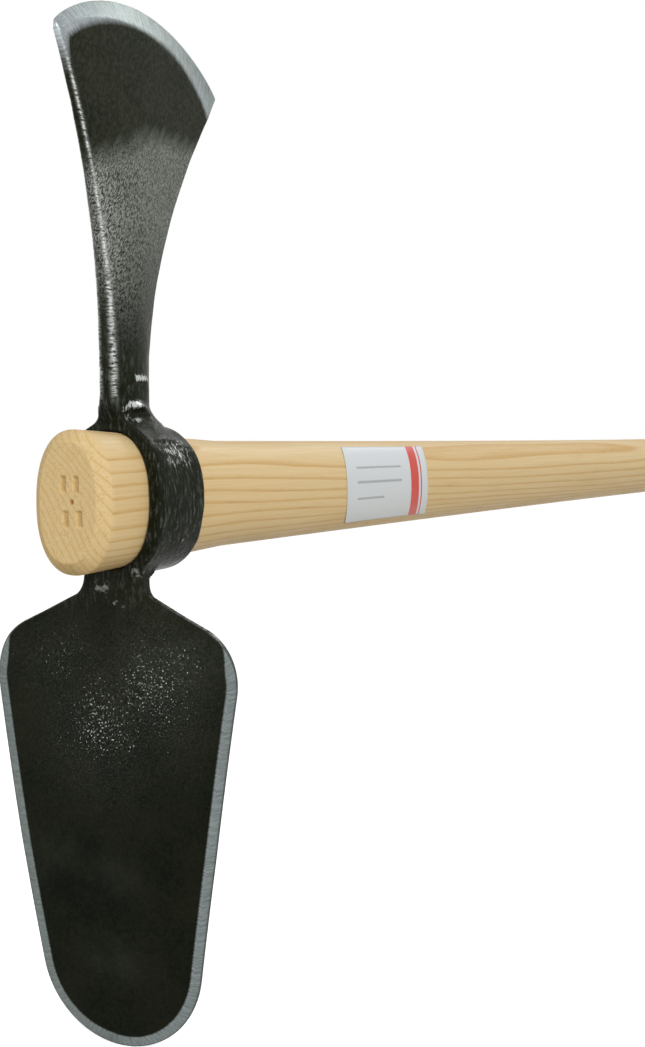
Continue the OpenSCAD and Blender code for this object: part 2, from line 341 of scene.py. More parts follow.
def handle_rows(h):
    """(place along the handle, place of the section that is used, inset, share) from end to end."""
    rows = [(0.0, h.chamfer, h.chamfer, i / TOP_ROWS) for i in range(TOP_ROWS + 1)]
    for step in range(1, CHAMFER_ROWS + 1):
        turn = math.radians(90 * step / CHAMFER_ROWS)
        down = lerp(step / CHAMFER_ROWS, 1 - math.cos(turn), h.softness)
        inset = lerp(1 - step / CHAMFER_ROWS, 1 - math.sin(turn), h.softness)
        rows.append((h.chamfer * down, h.chamfer, h.chamfer * inset, 1.0))
    grip_start = HANDLE_HIGH.y - h.grip_length
    butt = HANDLE_HIGH.y - h.butt_radius
    rows += [(y, y, 0.0, 1.0) for y in steps(h.chamfer, h.shoulder_y, EYE_END_ROWS)]
    rows += [(y, y, 0.0, 1.0) for y in steps(h.shoulder_y, grip_start, TAPER_ROWS)]
    rows += [(y, grip_start, 0.0, 1.0) for y in steps(grip_start, butt, GRIP_ROWS)]
    for step in range(1, BUTT_ROWS + 1):
        turn = math.radians(90 * step / BUTT_ROWS)
        inset = h.butt_radius * (1 - math.cos(turn))
        rows.append((butt + h.butt_radius * math.sin(turn), grip_start, inset, 1.0))
    rows += [(HANDLE_HIGH.y, grip_start, h.butt_radius, 1 - i / BUTT_ROWS) for i in range(1, BUTT_ROWS + 1)]
    return rows


# Centres of the four drive marks on the end face, half the width and height of one,
# and the centre and the radius of the hole between them
DRIVE_MARKS = in_metres([(-2.2, 7.3), (3.9, 7.2), (-1.0, -6.5), (5.5, -6.4)])
MARK_HALF = (1.2 * MM, 3.1 * MM)
CENTRE_DOT = (1.9 * MM, 0.3 * MM)
DOT_RADIUS = 0.9 * MM


def mark_share(x, z):
    """1 in one of the lathe's drive marks, and 0 away from them."""
    inside = 0.0
    for mark_x, mark_z in DRIVE_MARKS:
        across = abs(x - mark_x) / MARK_HALF[0]
        along = abs(z - mark_z) / MARK_HALF[1]
        inside = max(inside, smooth((1.40 - across) * 1.3) * smooth((1.20 - along) * 2.6))
    return inside


def dot_share(x, z):
    """1 in the centre hole, and 0 away from it."""
    return smooth(1.5 - math.hypot(x - CENTRE_DOT[0], z - CENTRE_DOT[1]) / DOT_RADIUS)


def end_face_dent(h, x, z):
    """Depth of the lathe's marks at a point of the end face."""
    return h.mark_depth * max(mark_share(x, z), dot_share(x, z))


def mark_sawn_ends(mesh, h):
    """Stores, for the wood's material, where the wood is sawn across and where the lathe gripped it."""
    for name in ("sawn", "marked", "dotted"):
        mesh.attributes.new(name, "FLOAT", "POINT")
    sawn = mesh.attributes["sawn"].data
    marked = mesh.attributes["marked"].data
    dotted = mesh.attributes["dotted"].data
    for i, vert in enumerate(mesh.vertices):
        x, y, z = vert.co
        on_face = y < h.mark_depth * 1.05 and abs(x) < 12 * MM and abs(z) < 14 * MM
        sawn[i].value = 1.0 if on_face else abs(vert.normal.y)
        marked[i].value = mark_share(x, z) if on_face else 0.0
        dotted[i].value = dot_share(x, z) if on_face else 0.0


# Shape of the head

# Squareness of the ring's oval, roundness of the axe's edge, and crown of the shank's front and rear
RING_SQUARENESS = 2.3
EDGE_ROUNDNESS = 0.85
SHANK_CROWN = 1.1 * MM
# Height at which the axe's rows end
AXE_ROWS_END = 54 * MM
# How far the eye's rims are opened out, and how deep
RIM_FLARE = 0.9 * MM
RIM_DEPTH = 1.0 * MM


def ring_half(k, y, z):
    """Half width of the ring's oval at a depth and height, and below zero past its top."""
    t = clamp((y - k.ring_front) / k.ring_depth)
    a = lerp(k.ring_front_width, k.ring_rear_width, t) / 2
    b = lerp(k.ring_front_height, k.ring_rear_height, t) / 2
    if abs(z) >= b:
        return 2 * (b - abs(z))
    return a * (1 - (abs(z) / b) ** RING_SQUARENESS) ** (1 / RING_SQUARENESS)


def ring_top(k):
    return k.ring_front_height / 2


def axe_flare_z(k):
    return ring_top(k) + 7 * MM


def axe_root_z(k):
    return ring_top(k) - 8 * MM


def axe_share(k, z):
    """Share of the way from the axe's root up to its bevel at the toe."""
    return (z - axe_root_z(k)) / (k.toe_z - k.toe_bevel - axe_root_z(k))


def axe_front(k, z):
    start = ring_top(k) + 18 * MM
    return k.shank_front - k.toe_flare * clamp((z - start) / (k.toe_z - start)) ** 2


def axe_rear(k, z):
    start = ring_top(k) + 13 * MM
    return k.shank_rear + k.heel_flare * max(0.0, (z - start) / (k.heel_z - start)) ** 1.93


def axe_edge_point(k, t):
    """(y, z) of the cutting edge, from the front corner to the grip-side corner."""
    rise = k.edge_bulge * (4 * t * (1 - t)) ** EDGE_ROUNDNESS
    return lerp(axe_front(k, k.toe_z), axe_rear(k, k.heel_z), t), lerp(k.toe_z, k.heel_z, t) + rise


def neck_z(k):
    return -ring_top(k) - 5 * MM


def corner_arc(before, corner, after, radius, count):
    """Arc that rounds a corner of a flat outline."""
    u = (before - corner).normalized()
    v = (after - corner).normalized()
    half = u.angle(v) / 2
    centre = corner + (u + v).normalized() * radius / math.sin(half)
    first = corner + u * radius / math.tan(half) - centre
    last = corner + v * radius / math.tan(half) - centre
    start = math.atan2(first.y, first.x)
    turn = (math.atan2(last.y, last.x) - start + 3 * math.pi) % (2 * math.pi) - math.pi
    angles = [start + turn * i / count for i in range(count + 1)]
    return [centre + radius * Vector((math.cos(a), math.sin(a))) for a in angles]


def hoe_outline(k):
    """Right half of the hoe's outline as (half width, z), from the neck to the tip, in even short steps."""
    corners = [
        Vector((k.neck_half, neck_z(k) + 13 * MM)),
        Vector((k.neck_half, neck_z(k))),
        Vector((k.shoulder_half, -k.shoulder_drop)),
        Vector((k.side_half, -(k.shoulder_drop + k.hoe_length) / 2)),
        Vector((k.end_half, -k.hoe_length)),
        Vector((0.0, -k.hoe_length)),
    ]
    lean = math.atan2(k.side_half - k.end_half, (k.hoe_length - k.shoulder_drop) / 2)
    round_end = k.end_half * math.tan(math.pi / 4 + lean / 2)
    # Roundings at the neck, the shoulder, the side and the end
    radii = [11 * MM, 25 * MM, 400 * MM, 0.999 * round_end]
    points = [corners[0]]
    for i, radius in enumerate(radii, start=1):
        points += corner_arc(corners[i - 1], corners[i], corners[i + 1], radius, 24)
    points.append(corners[-1])
    even = [points[0]]
    for a, b in zip(points, points[1:]):
        count = max(1, math.ceil((b - a).length / (1.1 * MM)))
        even += [a.lerp(b, i / count) for i in range(1, count + 1)]
    return even


def hoe_front(k, z):
    t = max(0.0, neck_z(k) - z) / (200 * MM)
    return k.neck_front - k.blade_bow * t + k.tip_sweep * t * t


def hoe_spine(k, x, z):
    """Thickness that the neck's spine adds to the hoe's plate."""
    spine = clamp(1 - (neck_z(k) - z) / (k.hoe_length + neck_z(k))) ** 4
    return (k.neck_thickness - k.hoe_thickness) * spine * clamp(1 - (x / (20 * MM)) ** 2)


def hoe_faces(k, x, z):
    """Front and rear of the hoe's plate, without its bevel."""
    front = hoe_front(k, z)
    spine = hoe_spine(k, x, z)
    return front - 0.33 * spine, front + k.hoe_thickness + 0.67 * spine


class EdgeMap:
    """Finds how far a point of the head is from a ground edge, and how far along that edge."""

    def __init__(self, points):
        self.points = points
        self.halves = {}
        self.inners = {}
        self.tree = kdtree.KDTree(len(points))
        self.run = [0.0]
        for a, b in zip(points, points[1:]):
            self.run.append(self.run[-1] + (b - a).length)
        for i, point in enumerate(points):
            self.tree.insert(point.to_3d(), i)
        self.tree.balance()

    def find(self, a, b):
        _, index, gap = self.tree.find(Vector((a, b, 0.0)))
        return gap, self.run[index], self.run[-1]

    def half_at(self, z):
        """Half width of the outline at a height."""
        if z not in self.halves:
            self.halves[z] = self.points[0].x
            for a, b in zip(self.points, self.points[1:]):
                if a.y >= z > b.y:
                    self.halves[z] = lerp(a.x, b.x, (a.y - z) / (a.y - b.y))
        return self.halves[z]

    def inner_at(self, half, z, width):
        """Half width, at a height, of what lies inside a bevel of that width."""
        if (half, z) not in self.inners:
            low, high = 0.0, half
            for _ in range(18):
                middle = (low + high) / 2
                low, high = (low, middle) if self.find(middle, z)[0] < width else (middle, high)
            self.inners[half, z] = max(low, 0.3 * half)
        return self.inners[half, z]


def axe_station(k, t):
    """Heights, bulge and thicknesses of a row of the axe.

    t is 0 at the root, 1 at the bevel and 2 at the edge.
    """
    up = clamp(t)
    edge = clamp(t - 1)
    front_z = lerp(lerp(axe_root_z(k), k.toe_z - k.toe_bevel, up), k.toe_z, edge)
    rear_z = lerp(lerp(axe_root_z(k), k.heel_z - k.heel_bevel, up), k.heel_z, edge)
    bulge = lerp((k.edge_bulge - k.toe_bevel) * up * up, k.edge_bulge, edge)
    middle = lerp(lerp(k.shank_thickness, k.axe_thickness, up), k.keen_edge, edge)
    side = lerp(lerp(k.shank_side, k.axe_corner, up), k.keen_edge, edge)
    return front_z, rear_z, bulge, middle, side


def axe_flare(k, z):
    return 11 * MM * clamp((axe_flare_z(k) - z) / (axe_flare_z(k) - axe_root_z(k))) ** 2


# Ridges (y, z, half breadth, rise) and hollows (y, z, half length, half height, depth)
# that the forging leaves on both sides of the shank, over the ring
SHANK_RIDGES = in_metres([(41, 49.2, 1.9, 1.2), (39, 38.2, 1.8, 1.6)])
SHANK_HOLLOWS = in_metres([(40, 44, 9, 4.2, 1.3), (39.5, 34.2, 8, 3.0, 2.4)])


def shank_dressing(y, z):
    """How far the forged ridges and hollows move the shank's sides out."""
    out = 0.0
    for middle_y, middle_z, half, rise in SHANK_RIDGES:
        aside = (y - middle_y) / (8 * MM)
        sag = middle_z - 2 * MM * aside**2
        out += rise * math.exp(-(((z - sag) / half) ** 2) - aside**4)
    for middle_y, middle_z, half_y, half_z, depth in SHANK_HOLLOWS:
        round_off = ((y - middle_y) / half_y) ** 2 + ((z - middle_z) / half_z) ** 2
        out -= depth * math.exp(-(round_off**1.5))
    return out


def shank_rear(k, z):
    """Rear of the shank, which swings out a little over the ring."""
    return k.shank_rear + 5 * MM * clamp((axe_flare_z(k) - z) / (8 * MM)) ** 1.6


def upper_half(k, y, z, middle, side):
    """Half thickness of the shank where it runs into the ring."""
    share_back = clamp((y - k.shank_front) / (shank_rear(k, z) - k.shank_front))
    shank = (side + (middle - side) * 4 * share_back * (1 - share_back)) / 2 + axe_flare(k, z)
    shank = (shank + shank_dressing(y, z)) * ramp(z, 12, 14)
    shank *= ramp(shank_rear(k, z) - y, -1.2, 1.6)
    return soft_max(shank, ring_half(k, y, z), 2.2 * MM)


def rounded_in(distance, radius):
    """How far a rounded edge draws a surface in, at a distance from the edge."""
    if distance >= radius:
        return 0.0
    return radius - math.sqrt(radius**2 - (radius - distance) ** 2)


def head_rows(k):
    """Rows of the head from the axe edge down to the hoe's tip, as (kind, value)."""
    rows = [("axe", 2 - i / BEVEL_ROWS) for i in range(BEVEL_ROWS)]
    root_share = axe_share(k, AXE_ROWS_END)
    rows += [("axe", lerp(1, root_share, i / BLADE_ROWS)) for i in range(BLADE_ROWS + 1)]
    top = axe_station(k, root_share)[0]
    rows += [("eye", z) for z in steps(top, neck_z(k), EYE_ROWS)]
    rows += [("hoe", point) for point in hoe_outline(k) if point.y < neck_z(k) - 0.3 * MM]
    return rows


def axe_place(k, t_row, column_kind, c):
    front_z, rear_z, bulge, middle, side = axe_station(k, t_row)
    y_front = axe_front(k, front_z)
    y_rear = axe_rear(k, rear_z)
    crown = SHANK_CROWN * clamp(2 - t_row) * (1 - c * c)
    if column_kind == "front":
        return Vector((c * side / 2, y_front - crown, front_z))
    if column_kind == "rear":
        return Vector((c * side / 2, y_rear + crown, rear_z))
    arch = 4 * c * (1 - c)
    y = lerp(y_front, y_rear, c)
    z = lerp(front_z, rear_z, c) + bulge * arch**EDGE_ROUNDNESS
    half = (side + (middle - side) * arch) / 2
    return Vector((half + shank_dressing(y, z) * clamp(2 - t_row), y, z))


def eye_depths(k, x, z):
    """Front and rear of the head at a height near the ring."""
    rear = k.ring_front + k.ring_depth
    if z > 0:
        return (
            lerp(k.ring_front, k.shank_front, ramp(z, 30, 8)),
            lerp(rear, shank_rear(k, z), ramp(z, 29.4, 2.4)),
        )
    neck_front, neck_rear = hoe_faces(k, x, z)
    neck_rear += 1.5 * MM * clamp((z - neck_z(k)) / (4 * MM))
    return (
        lerp(k.ring_front, neck_front, ramp(-z, 27, 10)),
        lerp(rear, neck_rear, ramp(-z, 28.8, 3.6)),
    )


def neck_share(z):
    """0 down to the ring's lower edge, and 1 in the neck under it."""
    return ramp(-z, 27, 5)


def neck_rounding(k, half, x, z):
    """How far the neck's rounded sides draw its front and rear in."""
    down = smooth((neck_z(k) - z) / (k.shoulder_drop + neck_z(k)))
    rounding = lerp(2.0 * MM, 0.0, down) * neck_share(z)
    return rounded_in(half - abs(x), rounding) if rounding > 0.01 * MM else 0.0


def eye_half(k, t, z, hoe):
    """Half width of the head at a height near the ring, t from its front to its rear."""
    y_front, y_rear = eye_depths(k, hoe.half_at(z) if z < 0 else 0.0, z)
    y = lerp(y_front, y_rear, t)
    if z > 0:
        _, _, _, middle, side = axe_station(k, max(0.0, axe_share(k, z)))
        half = upper_half(k, y, z, middle, side)
    else:
        neck_rear = hoe_faces(k, 0.0, z)[1] + 6 * MM * clamp((z - neck_z(k)) / (9 * MM)) ** 2
        neck = hoe.half_at(z) * ramp(-z, 14, 12) * ramp(neck_rear - y, -1, 3)
        half = soft_max(neck, ring_half(k, y, z), 3 * MM)
    near = min(y - y_front, y_rear - y)
    rounding = min(k.ring_rounding, half / 2, (y_rear - y_front) / 2) * (1 - neck_share(z))
    return half - (rounded_in(near, rounding) if rounding > 0 else 0.0)


def eye_place(k, z, column_kind, c, hoe):
    crown = SHANK_CROWN * ramp(z, 34, 16) * (1 - c * c)
    if column_kind == "side":
        half = eye_half(k, c, z, hoe)
        y_front, y_rear = eye_depths(k, hoe.half_at(z), z)
        drawn = neck_rounding(k, half, half, z)
        return Vector((half, lerp(y_front + drawn, y_rear - drawn, c), z))
    half = eye_half(k, 0 if column_kind == "front" else 1, z, hoe)
    y_front, y_rear = eye_depths(k, c * half, z)
    drawn = neck_rounding(k, half, c * half, z)
    if column_kind == "front":
        return Vector((c * half, y_front - crown + drawn - neck_lumps(c * half, z), z))
    return Vector((c * half, y_rear + crown - drawn, z))


# Forged lumps on the front of the neck as (x, z, half width, half height, rise)
NECK_LUMPS = in_metres([
    (-6.5, -37, 2.4, 1.8, 1.1),
    (-2.0, -41, 2.0, 2.6, 1.1),
    (11, -32.5, 2.4, 2.2, 1.2),
    (6.5, -34.5, 2.0, 1.6, 0.6),
    (5.5, -46, 3.0, 4.5, 0.7),
])


def neck_lumps(x, z):
    """How far the forged lumps stand out of the neck's front."""
    out = 0.0
    for middle_x, middle_z, half_x, half_z, rise in NECK_LUMPS:
        out += rise * math.exp(-(((x - middle_x) / half_x) ** 2) - ((z - middle_z) / half_z) ** 2)
    return out


def neck_hollow(k, x, z):
    """Depth of the furrow between the two lumps under the hoe's neck."""
    furrow = 1.6 * MM * math.exp(-((x / (5.0 * MM)) ** 2)) * ramp(neck_z(k) - z, -3, 12)
    return furrow * ramp(z, -120, 60)


def bevel_share(k, z):
    """How far the hoe's bevel has run in, from 0 over the shoulders to 1 below them."""
    return ramp(-k.shoulder_drop - z, -5.5, 16)


# Columns beyond this share of the half width lie in the hoe's bevel
BEVEL_COLUMN = math.cos(math.pi / 4)


def hoe_place(k, point, column_kind, c, hoe):
    half, z = point
    x = half
    if column_kind != "side":
        inner = hoe.inner_at(half, z, k.hoe_bevel)
        past = (abs(c) - BEVEL_COLUMN) / (1 - BEVEL_COLUMN)
        x = inner * abs(c) / BEVEL_COLUMN if past < 0 else lerp(inner, half, past)
        x = math.copysign(x, c)
    drawn = neck_rounding(k, half, x, z)
    gap = hoe.find(abs(x), z)[0] if half - abs(x) > 1e-9 else 0.0
    cut = clamp(1 - gap / k.hoe_bevel) * bevel_share(k, z)
    front, rear = hoe_faces(k, x, z)
    front += (k.hoe_thickness - k.keen_edge) * cut + drawn + neck_hollow(k, x, z) - neck_lumps(x, z)
    rear -= drawn
    if column_kind == "side":
        return Vector((x, lerp(front, rear, c), z))
    return Vector((x, front if column_kind == "front" else rear, z))


def head_columns():
    """(side of the head, place on it, hand) of every column, once round the head."""
    face = spread(FACE_COLUMNS)[:-1]
    side = spread(SIDE_COLUMNS)[:-1]
    return (
        [("front", 2 * c - 1, 1) for c in face]
        + [("side", c, 1) for c in side]
        + [("rear", 1 - 2 * c, 1) for c in face]
        + [("side", 1 - c, -1) for c in side]
    )


def keep_inside(shape, low, high):
    """Holds a shape inside a box, which it would leave by less than the breadth of a hair."""
    for vert in shape.verts:
        vert.co = [min(max(n, a), b) for n, a, b in zip(vert.co, low, high)]


def dress_with_hammer(shape, edges):
    """Moves the skin a little in and out, as hammer and die leave it, and leaves the ground edges true."""
    shape.normal_update()
    for vert in shape.verts:
        x, y, z = vert.co
        gap = min(edges["hoe"].find(abs(x), z)[0], edges["axe"].find(y, z)[0])
        near_eye = ramp(-abs(z), -75, 30)
        lump = noise.noise(vert.co * 95) * lerp(0.16, 0.34, near_eye)
        dent = noise.noise(vert.co * 230 + Vector((7, 3, 1))) * lerp(0.03, 0.13, near_eye)
        vert.co += vert.normal * (lump + dent) * MM * ramp(gap, 5, 5)


def cut_eye(piece, k, h):
    """Cuts the tapered oval eye, with a soft rim at both faces, through the head."""
    rear = k.ring_front + k.ring_depth
    middle = (k.ring_front + rear) / 2
    depths = [middle + lerp(-1, 1, i / 40) * (k.ring_depth / 2 + 12 * MM) for i in range(41)]
    depths += [k.ring_front, k.ring_front + RIM_DEPTH, rear - RIM_DEPTH, rear]
    depths.sort()

    def place(column, row):
        y = depths[row]
        inside = min(y - k.ring_front, rear - y)
        flare = RIM_FLARE * clamp(1 - inside / RIM_DEPTH)
        return handle_point(h, y, math.tau * column / HANDLE_COLUMNS, k.eye_clearance + flare)

    shape = rolled_sheet(HANDLE_COLUMNS, len(depths), place)
    close_ends(shape)
    cutter = finished_object("eye_cutter", shape, 180, [])
    cut = piece.modifiers.new("eye", "BOOLEAN")
    cut.operation = "DIFFERENCE"
    cut.solver = "EXACT"
    cut.object = cutter
    shown = piece.evaluated_get(bpy.context.evaluated_depsgraph_get())
    whole = piece.data
    piece.data = bpy.data.meshes.new_from_object(shown)
    piece.data.name = whole.name
    piece.modifiers.clear()
    bpy.data.meshes.remove(whole)
    bpy.data.objects.remove(cutter)


def mark_ground_edges(mesh, edges, k):
    """Stores, for the steel's material, where the bevels are ground, where the arrises are rubbed, and
    where light is painted.

    "ground" holds the way along the edge and the way into the bevel, in millimetres, and the softness
    of the bevel's border. "rubbed" holds the arris line, which is wear and a painted highlight, a painted
    sheen next to it, and the axe's narrow side, and on the hoe the keen edge, where the bevel gets painted
    shade.
    """
    mesh.attributes.new("ground", "FLOAT_VECTOR", "POINT")
    mesh.attributes.new("rubbed", "FLOAT_VECTOR", "POINT")
    ground = mesh.attributes["ground"].data
    rubbed = mesh.attributes["rubbed"].data
    for vert, ground_value, rubbed_value in zip(mesh.vertices, ground, rubbed):
        x, y, z = vert.co
        if z > 0:
            gap, run, total = edges["axe"].find(y, z)
            width = 8.2 * MM + 4.4 * MM * clamp((run / total - 0.65) / 0.35) ** 1.5
            front = axe_front(k, z)
            _, _, _, _, side = axe_station(k, clamp(axe_share(k, z)))
            arris = math.hypot(abs(x) - side / 2 - axe_flare(k, z), y - front)
            breadth = lerp(1.35 * MM, 0.75 * MM, ramp(z, 75, 60))
            # The arris line: wear, and a painted highlight
            line = math.exp(-((arris / breadth) ** 2)) * ramp(z, 38, 8)
            narrow = ramp(front - y, -0.6, 0.8)
            strip = ramp(front - y, -5, 5)
            level = (width + 5 * MM * strip - gap) / MM
            soft = lerp(1.5, 7.0, strip)
            # Painted sheen next to the arris, on the axe's middle
            sheen_beside = math.exp(-arris / (6 * MM)) * ramp(z, 70, 30) * ramp(-z, -140, 14)
        else:
            gap, run, _ = edges["hoe"].find(abs(x), z)
            width = k.hoe_bevel + 0.9 * MM * smooth(0.5 - x / (20 * MM))
            soft = 0.35
            level = (width * bevel_share(k, z) - gap) / MM - soft
            # A light line on the sides of the hoe's shoulders: wear, and a painted highlight
            line = 0.4 * smooth(1 - gap / (0.8 * MM)) * ramp(neck_z(k) - z, 0, 6) * (1 - bevel_share(k, z))
            sheen_beside = 0.0
            # The hoe's keen edge, where the bevel gets painted shade
            narrow = smooth(1 - gap / (0.7 * MM))
        ground_value.vector = (run / MM, level, soft)
        rubbed_value.vector = (line, sheen_beside, narrow)


# Materials


class Wire:
    """What a shader node gives out. Arithmetic on wires adds the nodes that work it out."""

    def __init__(self, socket):
        self.socket = socket

    def through(self, kind, inputs, output=0, **settings):
        """What a new node in the same tree gives out."""
        return Wire(add_node(self.socket.id_data, kind, inputs, **settings).outputs[output])

    def calc(self, operation, *others):
        return self.through("Math", dict(enumerate((self, *others))), operation=operation)

    __add__ = partialmethod(calc, "ADD")
    __sub__ = partialmethod(calc, "SUBTRACT")
    __mul__ = partialmethod(calc, "MULTIPLY")
    __truediv__ = partialmethod(calc, "DIVIDE")
    __abs__ = partialmethod(calc, "ABSOLUTE")
    larger = partialmethod(calc, "MAXIMUM")

    def span(self, low, high, to_low=0.0, to_high=1.0):
        """Maps the value from one range to another, and holds it there."""
        inputs = {"Value": self, "From Min": low, "From Max": high, "To Min": to_low, "To Max": to_high}
        return self.through("MapRange", inputs)

    def window(self, low, high, blur):
        """1 between two levels, and 0 outside them."""
        return self.span(low - blur, low + blur) * self.span(high + blur, high - blur)

    def parts(self):
        """The three parts of a place."""
        node = add_node(self.socket.id_data, "SeparateXYZ", {"Vector": self})
        return [Wire(socket) for socket in node.outputs]

    def stretched(self, *scale):
        return self.through("Mapping", {"Vector": self, "Scale": scale})

    def drawn_out(self, turn, scale):
        """Place on a pattern that is drawn out by a scale, and then turned."""
        inputs = {"Vector": self, "Rotation": turn, "Scale": scale}
        return self.through("Mapping", inputs, vector_type="TEXTURE")

    def speckle(self, scale, detail=2.0, roughness=0.5, output="Fac"):
        inputs = {"Vector": self, "Scale": scale, "Detail": detail, "Roughness": roughness}
        return self.through("TexNoise", inputs, output)

    def blend(self, a, b):
        """Colour that lies this share of the way from a to b."""
        return self.through("Mix", {0: self, 6: a, 7: b}, 2, data_type="RGBA")

    def between(self, a, b):
        """Number that lies this share of the way from a to b."""
        return self.through("Mix", {0: self, 2: a, 3: b}, data_type="FLOAT")

    def brightened(self, strength):
        """This colour times a strength."""
        return self.through("VectorMath", {0: self, "Scale": strength}, operation="SCALE")

    def bumped(self, strength, distance):
        """Direction of a surface that has this value as its relief."""
        return self.through("Bump", {"Height": self, "Strength": strength, "Distance": distance})


def feed(node, inputs):
    """Links a node's inputs to wires, or sets them to plain values."""
    for key, value in inputs.items():
        if isinstance(value, Wire):
            node.id_data.links.new(value.socket, node.inputs[key])
        else:
            node.inputs[key].default_value = value


def add_node(tree, kind, inputs=None, **settings):
    made = tree.nodes.new("ShaderNode" + kind)
    for name, value in settings.items():
        setattr(made, name, value)
    feed(made, inputs or {})
    return made


def new_material(name):
    """A material and its surface node."""
    material = bpy.data.materials.new(name)
    material.use_nodes = True
    tree = material.node_tree
    tree.nodes.clear()
    surface = add_node(tree, "BsdfPrincipled")
    add_node(tree, "OutputMaterial", {"Surface": Wire(surface.outputs["BSDF"])})
    return material, surface


def object_place(surface):
    """Place of a point on the object that a surface node colours."""
    return Wire(add_node(surface.id_data, "TexCoord").outputs["Object"])


def stored(surface, name, output):
    """What the mesh stores under a name."""
    return Wire(add_node(surface.id_data, "Attribute", attribute_name=name).outputs[output])


def spots(across, height, places):
    """Strongest of some soft spots at a point, all in millimetres."""
    found = []
    for middle, middle_z, half, half_z, strength in places:
        x = (across - middle) / half
        z = (height - middle_z) / half_z
        found.append(((x * x + z * z) * -1.0).calc("EXPONENT") * strength)
    return reduce(Wire.larger, found)


# Painted sheen and highlights, and dust, as (across, height, half width, half height, strength) with the
# lengths in millimetres: painted sheen and glints on the hoe, dust low on the hoe with painted sheen on its
# right shoulder, painted highlights on the front of the neck, and along the sides of the ring and the shank
# Painted sheen and glints on the hoe's upper half
HOE_PAINTED_SHEEN = [
    (20, -76, 28, 30, 1.0),
    (-6, -92, 28, 28, 1.0),
    (-24, -66, 24, 20, 0.72),
    (31, -64, 20, 13, 0.85),
]
# Dust patches low on the hoe, and a painted sheen on its right shoulder
HOE_DUST_AND_SHEEN = [
    (-30, -150, 14, 10, 0.8),
    (-4, -156, 15, 10, 0.7),
    (-3, -190, 13, 9, 0.9),
    (32, -64, 20, 13, 1.0),
]
# Painted highlights on the lumps at the front of the neck
NECK_PAINTED_HIGHLIGHTS = [(-4.5, -36, 6.5, 4.5, 1.05), (12, -28.5, 4, 3.5, 1.2), (4, -42, 8, 4.5, 0.85)]
# Painted highlights on the ring's sides, on the shank's ridges and round its lower hollow
SIDE_PAINTED_HIGHLIGHTS = [
    (46, 19, 17, 7.5, 1.0),
    (52, -16, 8, 9, 0.55),
    (42, 49.6, 8, 2.0, 1.5),
    (38, 38.8, 8, 2.2, 1.45),
    (26, 39.5, 3.6, 3.4, 1.5),
    (30, 36.4, 3.8, 2.6, 1.5),
    (34, 34, 3.6, 1.8, 1.4),
    (38.6, 32.6, 3.8, 1.5, 1.3),
]
# Turn of the brush marks that streak the axe's painted sheen, and of the grinding lines on the bevels
BRUSHED = (math.radians(50), 0, 0)
GROUND = (0, 0, math.radians(18))


